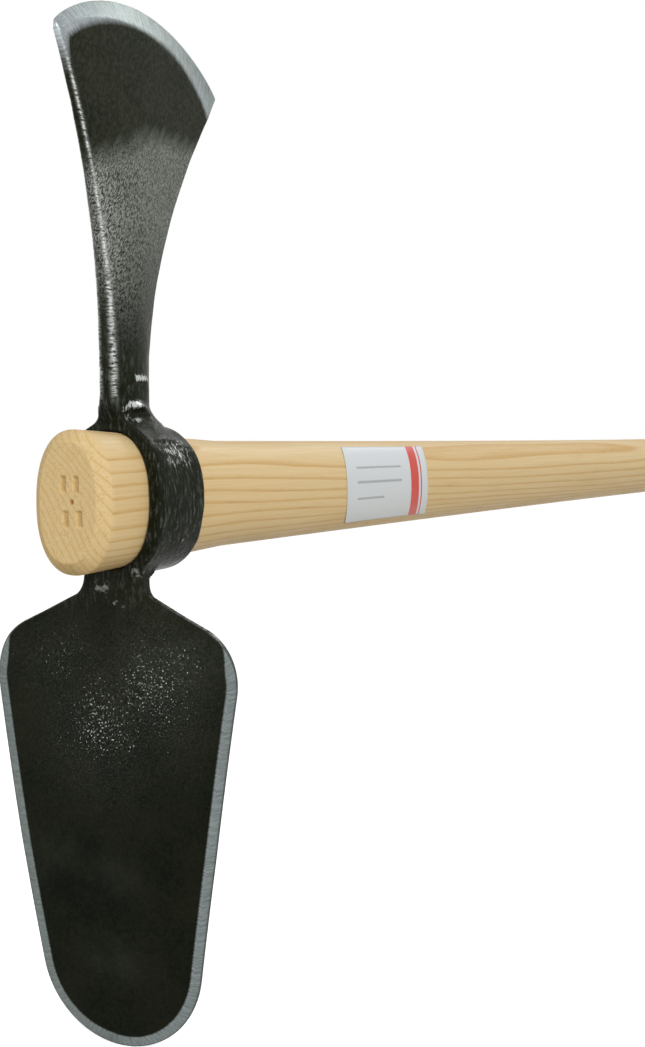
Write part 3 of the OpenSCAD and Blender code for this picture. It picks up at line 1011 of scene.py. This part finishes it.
def forged_steel(k):
    """Black forge scale with rubbed arrises, painted sheen, glints, highlights and shade, and bright ground
    bevels.
    """
    material, surface = new_material("scaled_steel")
    place = object_place(surface)
    x, y, z = (part / MM for part in place.parts())
    ground = stored(surface, "ground", "Vector")
    _, bevel, soft = ground.parts()
    # The arris line, which is wear and a painted highlight, a painted sheen next to it, and the narrow side
    # with the hoe's keen edge, which gets painted shade
    arris, aside, narrow = stored(surface, "rubbed", "Vector").parts()

    fine = place.speckle(1300, 3.0, 0.6)
    pebble = place.speckle(1050, 3.0, 0.65)
    mottle = place.speckle(560, 3.0, 0.65)
    patch = place.speckle(34, 4.0, 0.6)
    brush = place.stretched(1.0, 0.16, 1.0).speckle(800, 3.0, 0.6)
    hatch = place.stretched(0.25, 0.25, 1.0).speckle(1500, 2.0, 0.6)
    dents = place.stretched(1.0, 0.6, 1.0).speckle(330, 3.0, 0.6)
    strokes = place.stretched(1.0, 1.0, 0.22).speckle(760, 4.0, 0.7)
    grain = place.drawn_out(BRUSHED, (1, 2.4, 1)).speckle(1500, 4.0, 0.75)
    swath = place.drawn_out(BRUSHED, (1, 5, 1)).speckle(420, 4.0, 0.7)
    scratch = ground.drawn_out(GROUND, (1, 14, 1)).speckle(2.3, 4.0, 0.8)
    near_eye = z.span(-50, -30) * z.span(80, 50)
    on_hoe = z.span(10, -10)

    # The scale is darkest low on the hoe and greyer towards the neck, a painted shade where the blade faces
    # down, and lighter and dusty high on the axe
    tone = patch * 0.45 + pebble * 0.20 + mottle * 0.35
    tone += z.span(-130, -60, -0.055, 0.0) + z.span(110, 145, 0.0, 0.10)
    scale = tone.span(0.36, 0.66).blend(k.scale_dark, k.scale_light)
    dust = z.span(120, 150) * mottle.span(0.40, 0.72, 0.0, 0.068)
    scale = dust.blend(scale, k.sheen)

    # The axe's middle gets a painted grainy grey sheen, up to a border that is low at the front
    border = z + (patch - 0.5) * 14 + (grain - 0.5) * 12 + (swath - 0.5) * 13 - y.span(12, 48, -7.5, 5.5)
    sheen = border.span(148.5, 137.5) * z.span(60, 115, 0.06, 1.0)
    sheen *= z.span(45, 60) * narrow.span(0.0, 1.0, 1.0, 0.22)
    sheen_grain = grain.span(0.41, 0.60, y.span(28, 60, 0.0, 0.22), 1.0) * y.span(28, 60, 1.0, 0.90)
    scale = (sheen * sheen_grain).blend(scale, k.sheen)

    # Painted sheen and painted bright points on the hoe, dust on it, and painted highlights in strokes and
    # lumps on the eye and the neck
    sheen_zone = spots(x, z, HOE_PAINTED_SHEEN)
    # Dust patches and a painted shoulder sheen on the hoe
    film = spots(x, z, HOE_DUST_AND_SHEEN) * patch.span(0.36, 0.56, 0.014, 0.040)
    # Painted hazy sheen on the hoe's upper half
    hoe_sheen = sheen_zone * fine.span(0.42, 0.68, 0.0, 0.16)
    # Scratch strokes near the eye, with a painted sheen that is stronger on the ring's sides
    cheek = abs(x).span(15, 21, 0.22, 0.30)
    scuff_and_sheen = near_eye * cheek * strokes.span(0.52, 0.70)
    for veil in (film, hoe_sheen, scuff_and_sheen):
        scale = veil.blend(scale, k.sheen)
    # Where the ring's and the shank's sides get painted highlights
    side = spots(y, z, SIDE_PAINTED_HIGHLIGHTS) * abs(x).span(4, 7)
    # Where the neck's lumps get painted highlights
    neck = spots(x, z, NECK_PAINTED_HIGHLIGHTS) * y.span(36, 34)
    # Painted highlights in strokes on the sides of the ring and the shank
    stroke_highlight = (strokes + side * 0.34).span(0.80, 0.93, 0.0, 0.85)
    # Painted highlights, broken up, on the neck's lumps
    lump = (dents + neck * 0.33).span(0.80, 1.04, 0.0, 0.46)
    # Painted glints where the hoe's painted sheen is strongest
    glint = (fine + sheen_zone * 0.236).span(0.84, 0.90)

    # The arrises show uncovered steel from wear, painted as a highlight too, and the painted glints and
    # highlights take that steel colour as well
    wear_and_highlights = arris * hatch.span(0.34, 0.60)
    wear_and_highlights = reduce(Wire.larger, (wear_and_highlights, aside * grain.span(0.44, 0.66, 0.0, 0.75), glint, stroke_highlight, lump))
    dark = wear_and_highlights.blend(scale, k.bare_and_highlight)

    # Grinding lines cross the bevels a little aslant, and painted light adds to their brightness
    level = bevel + (scratch - 0.5) * soft * 2.0
    mask = level.span(soft * -1.0, soft)
    # Brighter towards the bevel's inner border, a painted highlight
    shine = scratch.span(0.32, 0.68, 0.40, 1.30) + level.span(0.0, 8.0, 0.22, 0.0)
    # Painted shade along the hoe's keen edge
    shine *= (narrow * on_hoe).span(0.0, 1.0, 1.0, 0.35)
    # Painted shade on the left half of the hoe's bevel
    shine *= (x.span(5, -5) * on_hoe).span(0.0, 1.0, 1.0, 0.80)
    # Painted highlight on the axe's bevel towards its toe
    shine *= y.span(6, 26, 1.2, 1.0)
    bright = on_hoe.blend(k.axe_ground, k.hoe_ground).brightened(shine)

    rough = patch.span(0.3, 0.7, 0.30, 0.42) + fine * 0.08 + near_eye * -0.10
    smooth_skin = brush * 0.55 + pebble * 0.25 + dents * 2.2
    rough_skin = pebble * 0.75 + fine * 0.25
    skin = mask.between(near_eye.between(rough_skin, smooth_skin), scratch * 0.5)
    feed(surface, {
        "Base Color": mask.blend(dark, bright),
        "Roughness": mask.between(rough, scratch.span(0.3, 0.7, 0.50, 0.40)),
        "Metallic": mask.larger(wear_and_highlights * 0.7),
        "Normal": skin.bumped(0.75, near_eye.between(0.32 * MM, 0.20 * MM)),
        "Specular IOR Level": 0.03,
        "Specular Tint": (0.92, 1.0, 0.88, 1),
    })
    return material


# Direction across the growth rings in the handle's section, the pith's distance from the axis,
# how far the rings wander and how much they lean along the handle
RING_TURN = math.radians(52)
PITH_DISTANCE = 0.085
RING_DRIFT = 0.008
RING_LEAN = 0.014


def growth_rings(place, pitch):
    """(grain line, fibre, pore) patterns of ash that grew along the handle."""
    drift_x, _, drift_z = place.stretched(1, 0.11, 1).speckle(26, output="Color").parts()
    x, y, z = place.parts()
    x += (drift_x - 0.5) * RING_DRIFT + PITH_DISTANCE * math.sin(RING_TURN)
    z += (drift_z - 0.5) * RING_DRIFT + PITH_DISTANCE * math.cos(RING_TURN) + y * RING_LEAN
    ring = ((x * x + z * z).calc("SQRT") / pitch).calc("FRACT")
    line = ring.span(0.0, 0.08) * ring.span(0.10, 0.42, 1.0, 0.0).calc("POWER", 1.6)
    fibre = place.stretched(1, 0.018, 1).speckle(900, 3.0, 0.6)
    pore = place.stretched(1, 0.03, 1).speckle(2300, 1.0, 0.5)
    return line, fibre, pore


def ash_wood(h):
    """Planed ash with long grain lines, and stippled end grain where the wood is sawn across."""
    material, surface = new_material("planed_ash")
    place = object_place(surface)
    line, fibre, pore = growth_rings(place, h.ring_pitch)
    cloud = place.stretched(1, 0.25, 1).speckle(24)
    wood = (line * cloud.span(0.3, 0.7, 0.55, 0.95)).blend(h.pale, h.line)
    wood = fibre.span(0.35, 0.75, 0.0, 0.24).blend(wood, h.line)
    pores = pore.span(0.58, 0.72) * (line + 0.25)
    wood = (pores * 0.32).blend(wood, h.pore)
    wood = cloud.span(0.35, 0.7, 0.0, 0.22).blend(wood, h.light)

    stipple = place.speckle(1300, 2.0, 0.6)
    coarse = place.speckle(380)
    end = (line * 0.44).blend(h.end_pale, h.mark)
    end = stipple.span(0.48, 0.72, 0.0, 0.60).blend(end, h.mark)
    end = coarse.span(0.45, 0.70, 0.0, 0.35).blend(end, h.light)
    end = (stored(surface, "marked", "Fac") * 0.40).blend(end, h.mark)
    end = (stored(surface, "dotted", "Fac") * 0.85).blend(end, h.dot)

    sawn = stored(surface, "sawn", "Fac").span(0.25, 0.80)
    feed(surface, {
        "Base Color": sawn.blend(wood, end),
        "Roughness": sawn.between(fibre.span(0.3, 0.7, 0.44, 0.58), 0.72),
        "Normal": sawn.between(fibre - pores * 0.6, stipple * 1.6).bumped(0.30, 0.18 * MM),
        "Specular IOR Level": 0.14,
    })
    return material


# Printed marks of the label as (left, right, low, high) shares of the sheet
STRIPES = [(0.78, 0.88, 0.0, 1.0), (0.905, 0.92, 0.0, 1.0)]
RULES = [(0.12, 0.66, 0.655, 0.680), (0.12, 0.66, 0.490, 0.515), (0.12, 0.44, 0.325, 0.350)]


def label_paper(b):
    """Coated paper with a plain stripe of colour and a few rules."""
    material, surface = new_material("coated_paper")
    place = object_place(surface)
    along, up, _ = Wire(add_node(surface.id_data, "UVMap", uv_map="sheet").outputs["UV"]).parts()
    fleck = place.speckle(1800)

    def inside(boxes):
        """1 in one of the boxes, and 0 outside them."""
        marks = [along.window(*box[:2], 0.002) * up.window(*box[2:], 0.004) for box in boxes]
        return reduce(Wire.larger, marks)

    sheet = fleck.span(0.3, 0.7, 0.0, 0.06).blend(b.paper, (0.5, 0.52, 0.55, 1))
    sheet = (inside(RULES) * fleck.span(0.25, 0.6, 0.40, 0.65)).blend(sheet, b.rule)
    sheet = (inside(STRIPES) * fleck.span(0.25, 0.6, 0.88, 1.0)).blend(sheet, b.stripe)
    feed(surface, {
        "Base Color": sheet,
        "Roughness": fleck.span(0.3, 0.7, 0.34, 0.44),
        "Normal": place.speckle(55).bumped(0.25, 0.4 * MM),
        "Specular IOR Level": 0.20,
    })
    return material


# Operators


class MATTOCK_OT_handle(bpy.types.Operator):
    """Turns the ash handle with its chamfered, drive-marked top end"""

    bl_idname = "mattock.handle"
    bl_label = "Ash Handle"

    def execute(self, context):
        h = context.scene.mattock_handle
        rows = handle_rows(h)

        def place(column, row):
            y, section_y, inset, scale = rows[row]
            point = handle_point(h, section_y, math.tau * column / HANDLE_COLUMNS, -inset) * scale
            dent = end_face_dent(h, point.x, point.z) if y == 0 else 0.0
            return Vector((point.x, y + dent, point.z))

        shape = rolled_sheet(HANDLE_COLUMNS, len(rows), place)
        close_ends(shape)
        piece = finished_object("turned_ash_handle", shape, 50, [ash_wood(h)])
        mark_sawn_ends(piece.data, h)
        hand_over(piece, "ash_handle", "handle")
        return {"FINISHED"}


class MATTOCK_OT_head(bpy.types.Operator):
    """Forges the head: axe blade, eye ring and hoe blade in one skin"""

    bl_idname = "mattock.head"
    bl_label = "Forged Head"

    def execute(self, context):
        k = context.scene.mattock_head
        rows = head_rows(k)
        axe_edge = [Vector(axe_edge_point(k, i / EDGE_POINTS)) for i in range(EDGE_POINTS + 1)]
        edges = {"axe": EdgeMap(axe_edge), "hoe": EdgeMap(hoe_outline(k))}
        columns = head_columns()

        def place(column, row):
            kind, value = rows[row]
            column_kind, c, hand = columns[column]
            if kind == "axe":
                point = axe_place(k, value, column_kind, c)
            elif kind == "eye":
                point = eye_place(k, value, column_kind, c, edges["hoe"])
            else:
                point = hoe_place(k, value, column_kind, c, edges["hoe"])
            point.x *= hand
            return point

        shape = rolled_sheet(len(columns), len(rows), place)
        close_ends(shape)
        dress_with_hammer(shape, edges)
        keep_inside(shape, HEAD_LOW, HEAD_HIGH)
        piece = finished_object("forged_mattock_head", shape, HEAD_CREASE, [forged_steel(k)])
        cut_eye(piece, k, context.scene.mattock_handle)
        shade(piece.data, HEAD_CREASE)
        mark_ground_edges(piece.data, edges, k)
        hand_over(piece, "forged_head", "head")
        return {"FINISHED"}


class MATTOCK_OT_label(bpy.types.Operator):
    """Pastes the paper label round the side of the handle"""

    bl_idname = "mattock.label"
    bl_label = "Paper Label"

    def execute(self, context):
        b = context.scene.mattock_label
        h = context.scene.mattock_handle
        middle = b.start + b.length / 2
        squareness = handle_squareness(h, middle)
        reach = math.asin((b.height / 2 / handle_half_height(h, middle)) ** (squareness / 2))
        turn = math.asin(b.rise / handle_half_height(h, middle))
        shape = bmesh.new()
        bmesh.ops.create_grid(shape, x_segments=LABEL_COLUMNS, y_segments=LABEL_ROWS, size=0.5)
        sheet = shape.loops.layers.uv.new("sheet")
        for face in shape.faces:
            for loop in face.loops:
                loop[sheet].uv = (loop.vert.co.x + 0.5, loop.vert.co.y + 0.5)
        for vert in shape.verts:
            along = vert.co.x + 0.5
            up = 2 * vert.co.y
            y = b.start + b.length * along + b.bow * (up * up - 1 / 3)
            curl = 0.25 * MM * max(0.0, abs(up) * abs(2 * along - 1) - 0.8) / 0.2
            ripple = 0.05 * MM * (1 + noise.noise(Vector((along * 6, up * 3, 0.5))))
            vert.co = handle_point(h, y, up * reach + turn, b.glue + ripple + curl)
        bmesh.ops.recalc_face_normals(shape, faces=shape.faces[:])
        if sum(face.normal.x for face in shape.faces) < 0:
            bmesh.ops.reverse_faces(shape, faces=shape.faces[:])
        piece = finished_object("paper_handle_label", shape, 60, [label_paper(b)])
        paper = piece.modifiers.new("paper", "SOLIDIFY")
        paper.thickness = b.thickness
        paper.offset = 1.0
        hand_over(piece, "paper_label", "handle")
        return {"FINISHED"}


# Round lamps as (name, place, target, width, watts), and the strength, spread and tilt of the sky
LAMPS = [
    ("key", (1.85, -1.20, 1.00), (0.0, 0.14, 0.0), 1.27, 38.0),
    ("fill", (-1.3, -1.0, 0.7), (0.0, 0.08, 0.0), 1.2, 4.8),
    ("front", (-0.75, -1.15, 0.02), (0.0, 0.03, -0.08), 0.10, 1.0),
    ("rim", (0.10, 1.12, 0.72), (0.0, 0.05, 0.03), 0.14, 2.0),
]
SKY_STRENGTH = 0.06
SKY_SPREAD = math.radians(70)
SKY_TILT = (math.radians(18), math.radians(12), 0.0)


def add_lamp(name, place, target, width, energy):
    lamp = bpy.data.lights.new(name, "AREA")
    lamp.shape = "DISK"
    lamp.size = width
    lamp.energy = energy
    holder = bpy.data.objects.new(name, lamp)
    holder.location = place
    holder.rotation_euler = (Vector(target) - Vector(place)).to_track_quat("-Z", "Y").to_euler()
    bpy.context.scene.collection.objects.link(holder)


def seen_directly(tree):
    """1 for what the camera, a mirror or glass sees, and 0 for light that falls on the object."""
    path = add_node(tree, "LightPath").outputs
    rays = ("Is Camera Ray", "Is Glossy Ray", "Is Transmission Ray")
    return reduce(Wire.larger, [Wire(path[ray]) for ray in rays])


class MATTOCK_OT_stage(bpy.types.Operator):
    """Sets the camera, the lamps, the white surround and the floor"""

    bl_idname = "mattock.stage"
    bl_label = "Studio"

    def execute(self, context):
        s = context.scene.mattock_stage
        scene = context.scene
        lens = bpy.data.cameras.new("camera")
        lens.sensor_width = 36.0
        lens.lens = lens.sensor_width * s.focal_pixels / s.picture_height
        camera = bpy.data.objects.new("camera", lens)
        camera.location = s.camera_place
        camera.rotation_euler = (math.pi / 2 - s.camera_pitch, 0.0, s.camera_yaw)
        scene.collection.objects.link(camera)
        scene.camera = camera

        world = bpy.data.worlds.new("surround")
        world.use_nodes = True
        tree = world.node_tree
        tree.nodes.clear()
        way = Wire(add_node(tree, "TexCoord").outputs["Generated"])
        dim = way.parts()[2].span(0.1, 1.0, s.ambient, 0.6 * s.ambient)
        light = seen_directly(tree).between(dim, 1.0)
        surround = add_node(tree, "Background", {"Color": (1, 1, 1, 1), "Strength": light})
        add_node(tree, "OutputWorld", {"Surface": Wire(surround.outputs[0])})
        scene.world = world

        for lamp in LAMPS:
            add_lamp(*lamp)
        sky = bpy.data.lights.new("sky", "SUN")
        sky.energy = SKY_STRENGTH
        sky.angle = SKY_SPREAD
        overhead = bpy.data.objects.new("sky", sky)
        overhead.rotation_euler = SKY_TILT
        scene.collection.objects.link(overhead)

        shape = bmesh.new()
        bmesh.ops.create_grid(shape, x_segments=1, y_segments=1, size=s.floor_size)
        bmesh.ops.translate(shape, verts=shape.verts[:], vec=(0.0, 0.0, CAD_BOX[0][2]))
        material, surface = new_material("floor")
        seen = seen_directly(surface.id_data)
        feed(surface, {
            "Base Color": seen.blend(s.floor_bounce, s.floor_colour),
            "Roughness": 0.9,
            "Specular IOR Level": 0.0,
            "Emission Color": (1, 1, 1, 1),
            "Emission Strength": seen * s.floor_lift,
        })
        finished_object("floor", shape, 180, [material])
        scene.view_settings.view_transform = "Standard"
        return {"FINISHED"}


class MATTOCK_PT_panel(bpy.types.Panel):
    """Sizes and colours of the mattock"""

    bl_label = "Mattock"
    bl_idname = "MATTOCK_PT_panel"
    bl_space_type = "VIEW_3D"
    bl_region_type = "UI"
    bl_category = "Mattock"

    def draw(self, context):
        for operator, group in zip(OPERATORS, SETTINGS):
            box = self.layout.box()
            box.operator(operator.bl_idname)
            for name in SETTINGS[group].__annotations__:
                box.prop(getattr(context.scene, group), name)


SETTINGS = {
    "mattock_handle": MattockHandleSettings,
    "mattock_head": MattockHeadSettings,
    "mattock_label": MattockLabelSettings,
    "mattock_stage": MattockStageSettings,
}
OPERATORS = (MATTOCK_OT_handle, MATTOCK_OT_head, MATTOCK_OT_label, MATTOCK_OT_stage)


def register():
    for name, settings in SETTINGS.items():
        bpy.utils.register_class(settings)
        setattr(bpy.types.Scene, name, PointerProperty(type=settings))
    for operator in OPERATORS:
        bpy.utils.register_class(operator)
    bpy.utils.register_class(MATTOCK_PT_panel)


def unregister():
    bpy.utils.unregister_class(MATTOCK_PT_panel)
    for operator in reversed(OPERATORS):
        bpy.utils.unregister_class(operator)
    for name, settings in SETTINGS.items():
        delattr(bpy.types.Scene, name)
        bpy.utils.unregister_class(settings)


def main():
    register()
    bpy.ops.mattock.stage()
    bpy.ops.mattock.handle()
    bpy.ops.mattock.head()
    bpy.ops.mattock.label()


if __name__ == "__main__":
    main()
